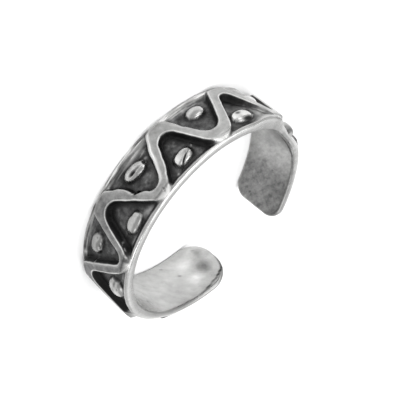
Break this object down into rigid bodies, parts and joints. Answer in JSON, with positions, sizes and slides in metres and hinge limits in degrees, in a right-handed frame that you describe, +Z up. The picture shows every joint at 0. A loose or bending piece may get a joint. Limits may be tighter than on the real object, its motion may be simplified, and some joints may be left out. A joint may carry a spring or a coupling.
{
  "type": "toe ring",
  "caption": "Open, adjustable toe ring in cast, oxidised silver with a raised zigzag ribbon and an oval pip in each pocket beside it.",
  "frame": {"origin": "on the axis of the toe hole, level with the lower edge of the band, on which the ring lies", "axes": "+Z up along the axis of the toe hole, -Y towards the middle of the patterned front, +Y towards the gap, +X towards the shorter end"},
  "size_m": [0.0174, 0.0172, 0.0043],
  "materials": {
    "oxidised_silver": "cast silver, darkened in the recesses, rubbed bright on the ribbon, pips, rims and plain ends"
  },
  "bodies": {
    "root": {"toe_ring": "oxidised_silver"}
  },
  "joints": []
}
